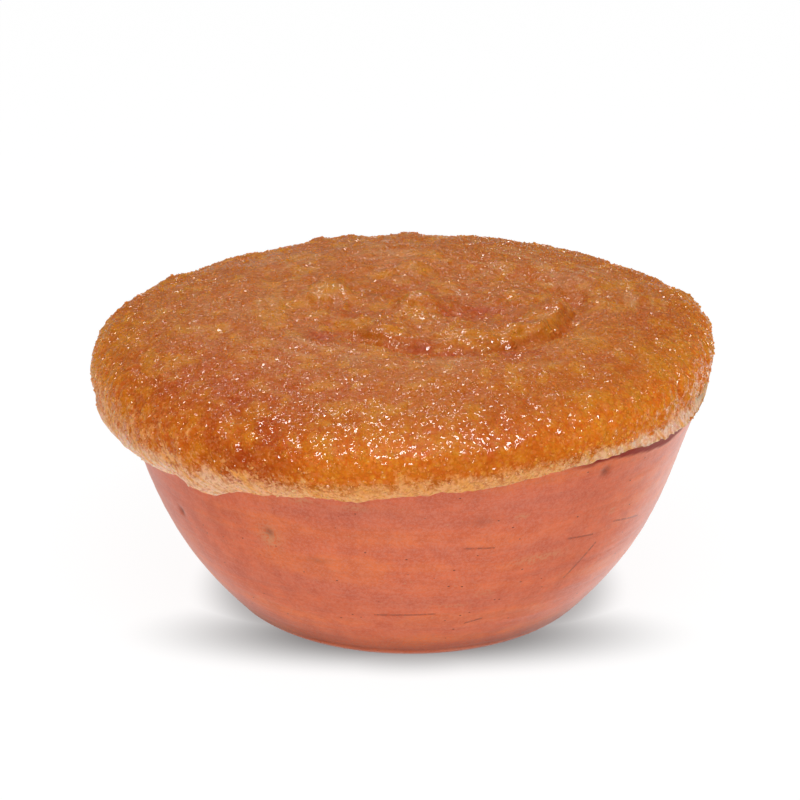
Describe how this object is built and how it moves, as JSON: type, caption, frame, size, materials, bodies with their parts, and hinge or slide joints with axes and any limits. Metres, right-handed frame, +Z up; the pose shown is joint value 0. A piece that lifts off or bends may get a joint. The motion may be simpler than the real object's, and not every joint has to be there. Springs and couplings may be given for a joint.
{
  "type": "jaggery in a clay bowl",
  "caption": "Soft granular jaggery heaped in a small round clay bowl, lapping over its rim, with a stirred hollow in its low domed top.",
  "frame": {"origin": "centre of the bowl's flat underside", "axes": "+Z up along the bowl's axis, -Y to the front, where the heap's lower edge shows level, -X to the side where it hangs lowest"},
  "size_m": [0.1449, 0.1448, 0.0734],
  "materials": {
    "clay": "satin",
    "jaggery_sugar": "moist, granular"
  },
  "bodies": {
    "root": {"clay_bowl": "clay", "jaggery": "jaggery_sugar"}
  },
  "joints": []
}
